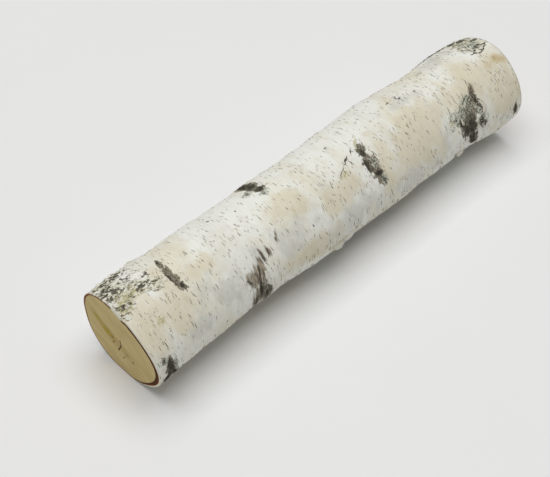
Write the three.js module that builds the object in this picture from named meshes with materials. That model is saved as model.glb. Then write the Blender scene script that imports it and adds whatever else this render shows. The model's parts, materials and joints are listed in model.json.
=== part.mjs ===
// A sawn birch log: one grown piece of wood and bark with a crook, swollen branch scars, patches of
// corky bark and two flat sawn ends. Millimetres, +Z up. The log lies along X with its butt end at -X,
// and it rests on the flats that its weight has pressed into the bark, at z = 0.
import * as THREE from "three";

// Driving dimensions
const LENGTH = 443; // between the sawn ends, along the axis
const DIAMETER = 90; // over the bark, mean of the butt end
const REST_DEPTH = 44.1; // from the axis down to the flats that the log rests on

// Mesh fineness
const RINGS = 80; // cross-sections along the log
const SIDES = 60; // corners of each cross-section
const RING_CROWDING = 1.6; // how much closer the cross-sections stand at a branch scar
const CROWDING_REACH = 14; // mm of the log either side of a scar that they crowd into

// Girth: [share of the length from the butt, share of the butt's radius]
const GIRTH = [
  [0, 1.005], [0.07, 1], [0.18, 0.975], [0.32, 0.955], [0.42, 0.995], [0.52, 0.985],
  [0.67, 1.015], [0.78, 0.985], [0.85, 0.955], [0.95, 1.025], [1, 0.98],
];

// Crook: [share of the length from the butt, mm that the axis shifts towards +Y]
const CROOK = [
  [0, 0], [0.12, 0.9], [0.28, 1.4], [0.42, -1.3], [0.52, -1.1],
  [0.67, -0.9], [0.82, -2.8], [0.92, -4.5], [1, -7.5],
];

// Slant of each saw cut: mm along X for each mm of +Y and of +Z
const BUTT_CUT = { perY: 0.048, perZ: -0.105 };
const TOP_CUT = { perY: 0.043, perZ: 0.056 };

// Out-of-round: waves per turn, mm high at the butt and at the top end, degrees to the first crest
const LOBES = [
  { waves: 2, butt: 1.2, top: 0.8, crest: 45 },
  { waves: 3, butt: 2.2, top: 0.9, crest: -30 },
  { waves: 5, butt: 0.4, top: 0.5, crest: 18 },
];

// Branch scars. at: mm from the butt. turn: degrees from the top of the log towards the front (-Y).
// span: degrees, half of its reach round the log. width: mm, half of its reach along it.
// lean: mm along the log for each degree of turn. collar: mm swollen. eye: mm sunk in the middle.
const SCARS = [
  { at: 11, turn: 92, span: 22, width: 8, lean: 0, collar: 1.0, eye: 1.2 },
  { at: 54, turn: 11, span: 25, width: 6, lean: 0, collar: 1.0, eye: 1.4 },
  { at: 117, turn: 75, span: 38, width: 11, lean: -0.25, collar: 1.4, eye: 1.6 },
  { at: 163, turn: -24, span: 22, width: 7, lean: 0.25, collar: 1.2, eye: 1.2 },
  { at: 260, turn: 38, span: 32, width: 7, lean: 0, collar: 1.3, eye: 1.6 },
  { at: 378, turn: 68, span: 38, width: 10, lean: -0.3, collar: 2.2, eye: 2.6 },
  { at: 215, turn: -112, span: 28, width: 7, lean: 0.05, collar: 1.4, eye: 1.5 },
  { at: 322, turn: -98, span: 24, width: 6.5, lean: 0, collar: 1.2, eye: 1.4 },
  { at: 92, turn: -128, span: 20, width: 6, lean: 0, collar: 1.0, eye: 1.2 },
];

// Corky patches, where the white bark has split into plates. reach: half-size, mm along the log.
const CORKY_PATCHES = [
  { at: 18, turn: -14, reach: 36, span: 38, height: 1 },
  { at: 425, turn: -18, reach: 21, span: 34, height: 1.2 },
];
const PLATE_LENGTH = 15; // mm along the log from one cork plate to the next
const PLATES_PER_TURN = 20;

// Slow swells of the bark: mm high, mm long and waves per turn
const SWELLS = [
  { height: 0.3, length: 71, waves: 1 },
  { height: 0.25, length: 43, waves: -2 },
  { height: 0.2, length: 29, waves: 3 },
];

const BARK_COLOUR = 0xd8d4c6;
const BARK_ROUGHNESS = 0.75;

// A smooth rule through [position, value] pairs.
function smoothRule(pairs) {
  const positions = pairs.map(([position]) => position);
  const values = pairs.map(([, value]) => value);
  const rule = new THREE.CubicInterpolant(positions, values, 1);
  return (position) => rule.evaluate(position)[0];
}

const girthAt = smoothRule(GIRTH);
const crookAt = smoothRule(CROOK);

// The smaller turn from one angle to another, in degrees.
function turnBetween(from, to) {
  return THREE.MathUtils.euclideanModulo(to - from + 180, 360) - 180;
}

// 1 in the middle of a patch, falling smoothly to 0 at its edge, where distance is 1.
function fade(distance) {
  return 1 - THREE.MathUtils.smoothstep(distance, 0.35, 1);
}

// A scar's relief: a broad swollen collar, with a slot sunk along its middle.
function scarRelief(scar, along, turn) {
  const away = turnBetween(scar.turn, turn);
  const u = (along - scar.at - scar.lean * away) / scar.width;
  const v = away / scar.span;
  const collar = scar.collar * Math.exp(-(u * u) / 4 - v * v);
  const eye = scar.eye * Math.exp(-2 * u * u) * fade(Math.abs(v));
  return collar - eye;
}

// A corky patch's relief: plates that stand proud, in rows that are offset as bricks are.
function corkRelief(patch, along, turn) {
  const away = turnBetween(patch.turn, turn);
  const mask = fade(Math.hypot((along - patch.at) / patch.reach, away / patch.span));
  const row = (2 * Math.PI * along) / PLATE_LENGTH;
  const column = THREE.MathUtils.degToRad(turn) * PLATES_PER_TURN + row / 2;
  return patch.height * mask * Math.sin(row) * Math.sin(column);
}

// Radius over the bark at a place on the log.
function barkRadius(along, turn) {
  const share = along / LENGTH;
  const angle = THREE.MathUtils.degToRad(turn);
  let radius = (girthAt(share) * DIAMETER) / 2;
  for (const { waves, butt, top, crest } of LOBES) {
    const height = THREE.MathUtils.lerp(butt, top, share);
    radius += height * Math.cos(waves * (angle - THREE.MathUtils.degToRad(crest)));
  }
  for (const { height, length, waves } of SWELLS) {
    radius += height * Math.sin((2 * Math.PI * along) / length + waves * angle);
  }
  for (const scar of SCARS) radius += scarRelief(scar, along, turn);
  for (const patch of CORKY_PATCHES) radius += corkRelief(patch, along, turn);
  return radius;
}

// A point of the bark. Cross-sections lean from the butt's saw cut to the top end's.
function barkPoint(share, turn) {
  const angle = THREE.MathUtils.degToRad(turn);
  const radius = barkRadius(share * LENGTH, turn);
  const y = crookAt(share) - radius * Math.sin(angle);
  const z = Math.max(radius * Math.cos(angle), -REST_DEPTH);
  return new THREE.Vector3(cutAt(share, y, z), y, z);
}

// Where a cross-section stands along X at a point of it.
function cutAt(share, y, z) {
  const butt = BUTT_CUT.perY * y + BUTT_CUT.perZ * z;
  const top = LENGTH + TOP_CUT.perY * y + TOP_CUT.perZ * z;
  return THREE.MathUtils.lerp(butt, top, share);
}

// Shares of the length where the cross-sections stand: even, but closer together at the scars.
function ringShares() {
  const crowding = (along) =>
    SCARS.reduce(
      (sum, { at }) => sum + RING_CROWDING * Math.exp(-(((along - at) / CROWDING_REACH) ** 2)),
      1,
    );
  const total = [0];
  for (let along = 1; along <= LENGTH; along++) total.push(total.at(-1) + crowding(along - 0.5));
  const shares = [];
  for (let ring = 0, along = 0; ring < RINGS; ring++) {
    const wanted = (total.at(-1) * ring) / (RINGS - 1);
    while (along < LENGTH - 1 && total[along + 1] < wanted) along++;
    const within = (wanted - total[along]) / (total[along + 1] - total[along]);
    shares.push((along + within) / LENGTH);
  }
  return shares;
}

// The whole log as one closed surface: rings of bark joined by quads, and a flat fan on each sawn end.
function logGeometry() {
  const points = [];
  const faces = [];
  const shares = ringShares();
  for (const share of shares) {
    for (let side = 0; side < SIDES; side++) points.push(barkPoint(share, (360 * side) / SIDES));
  }
  const corner = (ring, side) => ring * SIDES + (side % SIDES);
  for (let ring = 0; ring < RINGS - 1; ring++) {
    for (let side = 0; side < SIDES; side++) {
      const [a, b] = [corner(ring, side), corner(ring + 1, side)];
      const [d, c] = [corner(ring, side + 1), corner(ring + 1, side + 1)];
      faces.push(a, d, c, a, c, b);
    }
  }
  const pith = (share) => {
    const y = crookAt(share);
    return points.push(new THREE.Vector3(cutAt(share, y, 0), y, 0)) - 1;
  };
  const [buttPith, topPith] = [pith(0), pith(1)];
  for (let side = 0; side < SIDES; side++) {
    faces.push(buttPith, corner(0, side + 1), corner(0, side));
    faces.push(topPith, corner(RINGS - 1, side), corner(RINGS - 1, side + 1));
  }
  const geometry = new THREE.BufferGeometry().setFromPoints(points);
  geometry.setIndex(faces);
  return geometry;
}

// Moves the log so that its box is centred on X and Y and its flats lie at z = 0.
function setDown(geometry) {
  geometry.computeBoundingBox();
  const { min, max } = geometry.boundingBox;
  geometry.translate(-(min.x + max.x) / 2, -(min.y + max.y) / 2, -min.z);
  geometry.computeVertexNormals();
  return geometry;
}

const bark = new THREE.MeshStandardMaterial({
  color: BARK_COLOUR,
  roughness: BARK_ROUGHNESS,
  metalness: 0,
});

const log = new THREE.Mesh(setDown(logGeometry()), bark);
log.name = "birch_log";

const part = new THREE.Group();
part.add(log);

export default part;
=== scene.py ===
"""A sawn birch log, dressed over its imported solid: white papery bark with pores, corky scars, lichen,
cracks and loose flakes, and sawn ends with a red-brown inner bark. Metres, in the solid's frame."""

import json
import math
from functools import partial, reduce

import bpy
import numpy as np
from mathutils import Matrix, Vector
from mathutils.bvhtree import BVHTree


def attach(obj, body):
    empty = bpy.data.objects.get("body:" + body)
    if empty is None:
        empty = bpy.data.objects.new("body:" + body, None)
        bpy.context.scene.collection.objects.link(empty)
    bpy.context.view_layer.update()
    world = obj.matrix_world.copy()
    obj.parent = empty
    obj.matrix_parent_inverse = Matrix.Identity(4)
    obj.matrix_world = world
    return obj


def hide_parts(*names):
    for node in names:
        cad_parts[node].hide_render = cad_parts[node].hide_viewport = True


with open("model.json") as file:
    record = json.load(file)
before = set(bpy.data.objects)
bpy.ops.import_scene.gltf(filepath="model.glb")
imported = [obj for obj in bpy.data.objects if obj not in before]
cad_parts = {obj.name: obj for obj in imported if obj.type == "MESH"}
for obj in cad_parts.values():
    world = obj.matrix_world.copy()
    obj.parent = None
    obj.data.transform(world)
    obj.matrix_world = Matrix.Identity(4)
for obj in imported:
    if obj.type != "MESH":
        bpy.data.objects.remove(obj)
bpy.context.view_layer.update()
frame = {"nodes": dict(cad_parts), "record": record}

NODE = "birch_log"
BODY = "root"
MM = 0.001

# Fineness of the log's skin
RINGS = 330  # cross-sections along the log
SIDES = 256  # corners of each cross-section
END_RINGS = 22  # circles of points on each sawn end
RING_CROWDING = 1.2  # how much closer the cross-sections stand at a scar
CROWDING_REACH = 14 * MM
CROWDING_STEPS = 4000  # places along the log where the crowding is added up

# Patches of the bark, each as (at, turn, width, span, lean).
# at: mm from the butt. turn: degrees from the top of the log towards the front (-Y).
# width: mm, half of the reach along the log. span: degrees, half of the reach round it.
# lean: mm along the log for each degree of turn.
# The low scars near the butt (at 9 to 17 mm) and at 106 to 124 mm reach down past a turn of about 95
# degrees. There their dark, and the crust grains on it, are partly scar and partly painted shade.
SCARS = [
    (54.3, -6, 2.2, 9, 0), (54.0, 6, 3.6, 10, 0), (54.0, 17, 4.4, 13, 0.05), (55.0, 26, 4.2, 6.5, 0.1),
    (163, -34, 7.0, 13, 0.12), (165, -24, 7.5, 8, 0.1), (167, -14.5, 6.0, 6.5, 0.1),
    (114.5, 88, 3.0, 12, -0.1), (119, 95, 3.0, 14, 0.05), (123.5, 93, 2.2, 11, 0.1),
    (110, 95, 2.2, 12, 0), (106, 97, 1.5, 11, 0.05), (260, 21, 5.4, 9, -0.05),
    (259.8, 39, 7.0, 14, 0.02), (262, 52, 6.0, 8, 0.15), (263, 60, 5.6, 8, 0.1),
    (374, 68, 13, 20, 0.05), (382, 58, 8, 13, -0.1), (389, 45, 3.2, 11, -0.15), (380, 94, 6.0, 14, 0.4),
    (390, 76, 4.6, 8, 0.1), (12, 90, 5.6, 16, 0), (9, 102, 6.0, 15, -0.1), (16.5, 101, 4.2, 14, 0.15),
    (434.5, 89, 3.6, 10.5, 0.1), (214, -104, 6.0, 15, 0.05), (216, -122, 7.0, 13, 0.05),
    (322, -92, 5.6, 13, 0), (323, -106, 6.4, 13, 0), (92, -124, 5.4, 13, 0), (92.5, -136, 5.0, 10, 0),
]
# The low eyes near the butt and at 109 to 121 mm reach past a turn of about 95 degrees. There they are
# partly dark crust and partly painted shade.
EYES = [
    # The first eye, at 51.4 mm, is a thin dark line along the butt-side edge of the scar near the butt:
    # painted shadow of that edge.
    (51.4, 13, 0.9, 13, 0.08), (55.6, 26.5, 2.6, 3.2, 0.1), (54.2, -10, 1.1, 5, 0),
    (162.5, -35, 5.5, 11, 0.12), (164.5, -25, 5.5, 6, 0.1), (167, -14.5, 4.8, 5.2, 0.1),
    (118.6, 66, 1.4, 11, -0.24), (115.5, 85, 2.0, 13, -0.1), (120.5, 96, 1.8, 12, 0.05),
    (109, 99, 1.4, 11, 0), (259, 24, 2.8, 6, 0), (256.2, 39, 2.6, 11, 0), (262.8, 52.5, 3.6, 4, 0.2),
    (264.5, 62, 1.4, 5, 0.1), (371, 76, 6.0, 11, 0.2), (379.5, 77, 6.0, 18, 0.1), (390, 49, 1.6, 6, 0),
    (379.5, 94, 4.2, 13, 0.4), (389, 75, 2.2, 4, 0.1), (12.4, 88, 4.4, 12, 0), (8, 102, 4.2, 15, -0.1),
    (15, 102, 3.0, 13, 0.1), (434.8, 88, 2.4, 8, 0.1), (403, -55, 22, 6.5, 0), (417, -49, 9, 9, -0.6),
    (424, -38, 7, 8, -0.7), (432, -31, 9, 4, -1.0), (213, -106, 3.4, 12, 0.05),
    (217, -122, 3.6, 9, 0.05), (322, -94, 3.0, 10, 0), (323.5, -107, 3.6, 8, 0), (92, -126, 3.0, 11, 0),
]
FLECKS = [
    (7, -20, 10, 10, 0), (12, -11, 9, 7, 0), (4, -6, 5, 6, 0), (25, -18, 8, 6, 0),
    (38, 15, 1.3, 1.8, 0), (4, 16, 5, 4, 0), (31, 2, 8, 4, 0), (40, -6, 6, 6, 0), (20, -34, 24, 10, 0),
    (7, 9, 5, 5, 0), (9, 76, 5, 5, 0), (392, 58, 4, 16, 0.1), (392, 78, 5, 9, 0.3),
    (364, 62, 7, 9, 0.3), (438, -19, 6, 7, 0), (400, -64, 18, 7, 0), (430, -6, 5, 3, 0),
    (106.5, 68, 2.2, 6, 0.5), (155.5, -17, 3.6, 5, 0), (136, -8, 2.0, 2.6, 0), (113, -19, 1.6, 2.2, 0),
    (119, 17, 1.2, 1.8, 0), (165, -4, 1.5, 2.0, 0), (196, -24, 2.4, 3.0, 0), (181, 56, 1.6, 2.2, 0),
    (316, -6, 2.4, 2.6, 0), (326, -9, 3.6, 3.0, 0), (328, -4, 4.4, 3.4, 0), (306, -8, 1.8, 2.2, 0),
    (345, -1, 2.0, 2.6, 0), (238, -6, 3.0, 4.0, 0), (242, 19, 4.0, 3.4, -0.6), (277, 18, 2.0, 2.6, 0),
    (300, -150, 24, 22, 0), (40, -150, 28, 20, 0), (140, -100, 2.2, 2.8, 0), (260, -75, 2.0, 2.4, 0),
    (70, -84, 2.0, 2.6, 0), (390, -120, 2.2, 2.8, 0), (30, 160, 2.2, 2.8, 0), (275, 150, 2.2, 2.8, 0),
]
FISSURES = [
    (111, 68, 10, 13, 0.2), (119, 68, 9, 20, -0.25), (128, 52, 1.9, 15, 0.05), (134, 51, 2.6, 9, 0.1),
    (147, 42, 1.8, 9, -0.35), (115, 92, 14, 20, 0), (361, 104, 6, 11, 0.3), (208, 99, 12, 4, 0.3),
    (390, 38, 4, 10, -0.3), (214, -100, 10, 30, 0.1),
]
FROST = [
    (361, 56, 10, 11, -0.2), (380, 43, 10, 8, -0.3), (370, 52, 9, 8, 0), (382, 53, 5, 9, -0.2),
    (391, 62, 6, 12, 0), (392, 78, 7, 11, 0.1), (166, -6, 7, 6, 0), (156, -18, 7, 6, 0),
    (263.5, 41, 3.6, 8, 0), (265, 62, 5, 8, 0.2), (9, 77, 6, 5, 0), (18, 92, 3, 16, 0),
    (428, -14, 15, 17, 0), (329, -98, 5, 20, 0),
]
CORK = [
    (12, -14, 18, 20, 0), (12, 5, 14, 12, 0), (25, -4, 11, 10, 0), (34, 4, 15, 8, 0), (40, 9, 8, 9, 0),
    (14, -38, 22, 16, 0), (428, -10, 17, 17, 0), (430, -34, 17, 17, 0), (402, -62, 25, 13, 0),
    (300, -150, 24, 26, 0), (40, -150, 30, 24, 0),
]
LICHEN = [
    (20, 0, 10, 8, 0), (8, 12, 10, 7, 0), (14, 5, 11, 9, 0), (24, 42, 5, 7, 0),
    (261.5, 9, 2.8, 8, -0.65), (257.5, 16, 2.4, 3, 0), (231, 32, 5, 5, -0.5), (356, 57, 6, 5, 0),
    (428, -18, 14, 12, 0), (180, -150, 26, 26, 0),
]
STAINS = [
    (430, 23, 13, 8, 0), (439, 26, 6, 11, 0), (361, 103, 6, 11, 0.3), (209, 96, 14, 6, 0.3),
]
WARM = [
    (24, 36, 40, 34, 0), (76, 22, 16, 11, 0), (173, 21, 23, 18, 0.3), (226, 48, 26, 18, 0),
    (306, 50, 48, 38, 0), (392, 30, 58, 32, 0), (420, 62, 40, 34, 0), (180, 80, 40, 14, 0),
    (70, -110, 60, 34, 0), (270, -120, 70, 40, 0), (160, 165, 60, 34, 0), (400, -130, 50, 40, 0),
]
# Grey patches: grey film on the bark. The two at 54 and 84 mm lie low on the front flank and also darken
# that side as painted shade.
GREY_AND_SHADE = [
    (84, 56, 30, 22, 0), (128, 50, 13, 15, 0), (54, 74, 28, 12, 0), (160, 54, 26, 22, 0),
    (348, 66, 14, 22, 0), (225, 76, 36, 20, 0), (322, 2, 30, 9, 0.2), (396, -28, 26, 18, 0),
    (300, 86, 40, 16, 0), (250, 140, 120, 26, 0), (120, -90, 40, 24, 0), (360, -80, 40, 24, 0),
]
# The same by the names that the skin keeps them under
PATCHES = {
    "scar": SCARS, "eye": EYES, "fleck": FLECKS, "fissure": FISSURES, "frost": FROST,
    "cork": CORK, "lichen": LICHEN, "stain": STAINS, "warm": WARM, "grey": GREY_AND_SHADE,
}

# Chips in the butt's rim: turn and half-span in degrees, depth and reach along the log in mm
CHIPS = [(12, 11, 2.6, 7)]

# Cracks in the bark: half-thickness in mm, then places as (at, turn)
CRACKS = [
    (0.35, [(55, -16), (54, -10), (53, -2)]),
    (0.4, [(149, 35), (147, 41), (144, 48)]),
    (0.5, [(128, 38), (127.5, 48), (127.5, 58), (128, 66)]),
    (0.4, [(134, 44), (133, 52), (131, 60)]),
    (0.8, [(121, 55), (118, 64), (116, 72), (114.5, 82)]),
    (0.6, [(124, 64), (120.5, 72), (117.5, 80), (115, 92)]),
    (0.45, [(103.5, 66), (107, 72), (112, 81)]),
    (0.3, [(51, -8), (47.5, 0), (43.5, 9)]),
    (0.7, [(253, 13), (250.5, 17), (250, 20)]),
    (0.7, [(247, 17), (244.5, 17), (243.5, 20), (241, 19.5), (239, 23), (236, 24)]),
    (0.65, [(236, 24), (233.5, 27), (230, 28.5), (226.5, 33)]),
    (0.65, [(243.5, 20), (243, 23), (244.5, 25), (245.5, 30)]),
    (0.4, [(239, 23), (240, 27), (238.5, 30)]),
    (0.5, [(264, 22), (266.5, 30), (267.5, 40), (267, 48), (265, 53)]),
    (0.4, [(265, 8), (265.5, 13), (264.5, 18)]),
    (0.45, [(268, 70), (268.5, 76), (268, 81)]),
    (0.35, [(270, 82), (271, 89)]),
    (0.5, [(369.5, 29), (370, 36), (370.5, 44)]),
    (0.6, [(394, 29), (390, 37), (384, 44), (376, 50)]),
    (0.6, [(372, 47), (378, 42), (385, 38)]),
    (0.6, [(391, 46), (390, 54), (391, 60)]),
    (0.5, [(359, 58), (366, 66), (372, 67)]),
    (0.5, [(385, 68), (390, 75), (396, 82)]),
    (0.95, [(415, 0), (417, 3), (420, 2), (424, 7), (430, 4.5), (436, 0), (441, -6)]),
    (0.6, [(421, -11), (427, -12), (431, -10)]),
    (0.6, [(432, -9), (436, -3)]),
    (0.6, [(418, -21), (426, -20), (432, -18)]),
    (0.6, [(421, -5), (427, -4), (431, -6)]),
    # These three lie along the far upper outline, where they show as a thick dark line at its edge.
    (1.05, [(384, -50), (400, -51), (411, -51), (421, -46)]),
    (0.8, [(380, -55), (392, -56), (406, -56), (418, -53)]),
    (1.15, [(421, -46), (423, -33), (430, -29), (440, -25)]),
    (0.7, [(433, -24), (438, -20), (441, -14)]),
    (0.6, [(195, 101), (203, 100), (210, 97), (218, 98)]),
    (0.5, [(2, -24), (9, -22), (16, -23)]),
    (0.5, [(4, -12), (12, -16), (20, -14)]),
    (0.5, [(6, -5), (13, -6), (22, -9)]),
    (0.4, [(24, -20), (32, -19), (38, -15)]),
    (0.4, [(28, 2), (34, 0), (41, -5)]),
    (0.4, [(36, 12), (38, 6), (36, 2)]),
    (0.4, [(8, -34), (20, -36), (34, -38)]),
    (0.5, [(206, -92), (212, -104), (214, -122)]),
    (0.5, [(327, -84), (323, -100), (326, -114)]),
]

# Loose flakes of bark: at, turn, the way the free edge points (degrees; 0 round the log towards the
# front, 90 along it to the top end), then length, width and lift in mm
CURLS = [
    (5.5, 2, -90, 4.0, 6, 0.8), (6.0, 20, -80, 4.2, 5, 1.0), (3.0, -9, -100, 3.8, 5, 0.9),
    (46, 9, 60, 4, 6, 0.8), (42, 13, 160, 4, 5, 0.8), (43, -44, 170, 4, 8, 0.8),
    (24, -44, 190, 4, 9, 0.9), (12, -40, 170, 4, 6, 0.8), (122, 72, 80, 4, 8, 1.0),
    (213, 92, 10, 5, 13, 2.0), (202, 95, -6, 6, 14, 2.2), (362, 97, 20, 6, 11, 1.6),
    (368, 62, -80, 4, 7, 1.0), (393, 62, 90, 4, 9, 1.0), (436, -8, 60, 5, 7, 1.0),
    (222, -108, 80, 4, 8, 0.9), (300, -146, 100, 6, 9, 1.4), (150, 170, 40, 6, 9, 1.2),
]


# The log's frame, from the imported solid

RIM_TOLERANCE = 0.05 * MM  # how near to a saw cut the points of its rim lie
CROOK_DEGREE = 7  # of the polynomial that follows the log's crook
END_MARGIN = 0.002  # share of the length by which a ray keeps off each saw cut


class LogFrame:
    """The log's axis, its two saw cuts and its bark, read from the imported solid."""

    def __init__(self, solid, mounts):
        points = np.array([vertex.co for vertex in solid.data.vertices])
        faces = [tuple(face.vertices) for face in solid.data.polygons]
        self.bark = BVHTree.FromPolygons([Vector(point) for point in points], faces)
        self.butt = self.cut(mounts["butt_face"], points)
        self.top = self.cut(mounts["top_face"], points)
        self.length = self.top["pith"][0] - self.butt["pith"][0]
        self.radius = (points[:, 2].max() - points[:, 2].min()) / 2
        from_butt, from_top = (
            points[:, 0] - cut["pith"][0] - (points[:, 1:] - cut["pith"][1:]) @ cut["slopes"]
            for cut in (self.butt, self.top)
        )
        share = from_butt / (from_butt - from_top)
        self.crook = np.polynomial.Polynomial.fit(share, points[:, 1], CROOK_DEGREE)

    @staticmethod
    def cut(mount, points):
        """A saw cut: its slopes along X for each metre of +Y and +Z, and the middle of its rim."""
        place, normal = np.array(mount["pos_m"]), np.array(mount["axis"])
        rim = points[np.abs((points - place) @ normal) < RIM_TOLERANCE]
        slopes = -normal[1:] / normal[0]
        pith = rim.mean(axis=0)
        pith[0] = place[0] + slopes @ (pith[1:] - place[1:])
        return dict(slopes=slopes, pith=pith)

    @staticmethod
    def off_cuts(share):
        """A share of the length, kept a little way off both saw cuts."""
        return np.clip(share, END_MARGIN, 1 - END_MARGIN)

    def axis_point(self, share):
        """A point of the log's axis."""
        along = self.butt["pith"][0] + share * self.length
        height = self.butt["pith"][2]
        return np.stack([along, self.crook(share), np.full_like(share, height)], axis=-1)

    def outward(self, share, turn):
        """The way from the axis to the bark, in a cross-section that leans as the saw cuts do."""
        slopes = (1 - share)[..., None] * self.butt["slopes"] + share[..., None] * self.top["slopes"]
        y, z = -np.sin(turn), np.cos(turn)
        return np.stack([slopes[..., 0] * y + slopes[..., 1] * z, y, z], axis=-1)

    def on_surface(self, surface, share, turn):
        """Distance from the axis to a surface and the surface's normal there, for each share and turn."""
        inside = self.off_cuts(share)
        starts, ways = self.axis_point(inside), self.outward(inside, turn)
        reach, normals = np.empty(share.shape), np.empty(share.shape + (3,))
        for place in np.ndindex(share.shape):
            way = Vector(ways[place])
            _, normal, _, distance = surface.ray_cast(Vector(starts[place]), way.normalized())
            reach[place] = distance / way.length
            normals[place] = normal
        return reach, normals


log = LogFrame(frame["nodes"][NODE], {mount["name"]: mount for mount in frame["record"]["mounts"]})


# The log's skin: a fine closed mesh that keeps the solid's form

def ring_shares():
    """Shares of the length where the cross-sections stand: closer together at the scars."""
    along = np.linspace(0, log.length, CROWDING_STEPS)
    crowding = np.ones_like(along)
    for at, *_ in SCARS:
        crowding += RING_CROWDING * np.exp(-(((along - at * MM) / CROWDING_REACH) ** 2))
    total = np.concatenate([[0], np.cumsum((crowding[1:] + crowding[:-1]) / 2)])
    return np.interp(np.linspace(0, total[-1], RINGS), total, along) / log.length


def smoothed(radius, passes=2):
    """Softens the solid's facets: each radius is averaged with its neighbours."""
    for _ in range(passes):
        round_it = (np.roll(radius, 1, axis=1) + 2 * radius + np.roll(radius, -1, axis=1)) / 4
        padded = np.pad(round_it, ((1, 1), (0, 0)), mode="edge")
        radius = (padded[:-2] + 2 * round_it + padded[2:]) / 4
    return radius


def chip_depth(along, turn):
    """How deep the chips in the butt's rim are at a place on the log."""
    depth = np.zeros_like(along)
    for middle, span, deep, reach in CHIPS:
        away = (np.degrees(turn) - middle) / span
        near = np.clip(1 - along / (reach * MM), 0, 1) ** 2
        depth = np.maximum(depth, deep * MM * near * np.clip(1 - away**4, 0, 1))
    return depth


def patch_field(patches, along, turn):
    """1 in the middle of a patch, 0 at its edge and less outside, for the patch that is nearest."""
    field = np.full(along.shape, -1.0)
    for at, middle, width, span, lean in patches:
        away = (np.degrees(turn) - middle + 180) % 360 - 180
        u = (along / MM - at - lean * away) / width
        field = np.maximum(field, 1 - np.hypot(u, away / span))
    return field


def store(mesh, name, values, domain="POINT"):
    """Keeps a number or a vector for each point or face of a mesh."""
    values = np.asarray(values, dtype=np.float32)
    vector = values.ndim == 2
    attribute = mesh.attributes.new(name, "FLOAT_VECTOR" if vector else "FLOAT", domain)
    attribute.data.foreach_set("vector" if vector else "value", values.ravel())


def skin_mesh():
    """The skin's points ring by ring, then the circles of each sawn end down to its pith."""
    turn_row = np.linspace(-math.pi, math.pi, SIDES, endpoint=False)
    share, turn = np.meshgrid(ring_shares(), turn_row, indexing="ij")
    radius = smoothed(log.on_surface(log.bark, share, turn)[0])
    radius -= chip_depth(share * log.length, turn)
    ways = log.outward(share, turn)
    bark = log.axis_point(share) + radius[..., None] * ways
    bark[..., 2] = np.maximum(bark[..., 2], 0)
    rows, shares, rims, outward = [bark], [share], [np.ones_like(share)], [ways]
    reach = np.linspace(1, 0, END_RINGS + 1)[1:-1, None]
    for ring, end in ((0, 0.0), (-1, 1.0)):
        pith = log.axis_point(np.array([end]))
        rows.append(pith + reach[..., None] * (bark[ring][None] - pith))
        shares.append(np.full((END_RINGS - 1, SIDES), end))
        rims.append(np.repeat(reach, SIDES, axis=1))
        outward.append(np.zeros((END_RINGS - 1, SIDES, 3)))
    piths = log.axis_point(np.array([0.0, 1.0]))
    points = np.concatenate([np.concatenate(rows).reshape(-1, 3), piths])
    share = np.append(np.concatenate(shares).ravel(), [0, 1])
    turn = np.append(np.tile(turn_row, RINGS + 2 * (END_RINGS - 1)), [0, 0])
    faces, is_end = skin_faces()
    mesh = bpy.data.meshes.new("log_skin")
    mesh.from_pydata(points.tolist(), [], faces)
    for name, patches in PATCHES.items():
        store(mesh, name, patch_field(patches, share * log.length, turn))
    store(mesh, "rim", np.append(np.concatenate(rims).ravel(), [0, 0]))
    store(mesh, "outward", np.concatenate([np.concatenate(outward).reshape(-1, 3), np.zeros((2, 3))]))
    store(mesh, "from_pith", places_on_ends(points, share, piths))
    store(mesh, "is_end", is_end, "FACE")
    return mesh


def places_on_ends(points, share, piths):
    """Each point's place from the pith of its own end, with 0 as X at the butt and 1 at the top end."""
    from_pith = points - np.where(share[:, None] < 0.5, piths[0], piths[1])
    from_pith[:, 0] = np.round(share)
    return from_pith


def skin_faces():
    """Quads between neighbouring rings, and a fan round each pith. The end faces are marked with 1."""
    faces, is_end = [], []

    def join(first, second, end):
        for side in range(SIDES):
            after = (side + 1) % SIDES
            faces.append((first + side, first + after, second + after, second + side))
            is_end.append(end)

    for ring in range(RINGS - 1):
        join(ring * SIDES, (ring + 1) * SIDES, 0)
    butt_start = RINGS * SIDES
    top_start = butt_start + (END_RINGS - 1) * SIDES
    pith = top_start + (END_RINGS - 1) * SIDES
    for end, rim, start in ((0, 0, butt_start), (1, (RINGS - 1) * SIDES, top_start)):
        circles = [rim] + [start + circle * SIDES for circle in range(END_RINGS - 1)]
        for outer, inner in zip(circles, circles[1:]):
            join(*((inner, outer) if end == 0 else (outer, inner)), 1)
        for side in range(SIDES):
            a, b = circles[-1] + side, circles[-1] + (side + 1) % SIDES
            faces.append((pith + end, b, a) if end == 0 else (pith + end, a, b))
            is_end.append(1)
    return faces, is_end


# Node trees

CLEAR_OF_FLOOR = (2 * MM, 5 * MM)  # heights between which the bark's small pieces begin
ANY_TURN = 3.0  # radians to either side, nearly a full turn
# Places of sockets in nodes that have several of one name
MIX_FACTOR, MIX_FIRST, MIX_SECOND, MIX_COLOUR = 0, 6, 7, 2
RANDOM_LOW, RANDOM_HIGH, RANDOM_SEED, RANDOM_NUMBER = 2, 3, 8, 1


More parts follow.
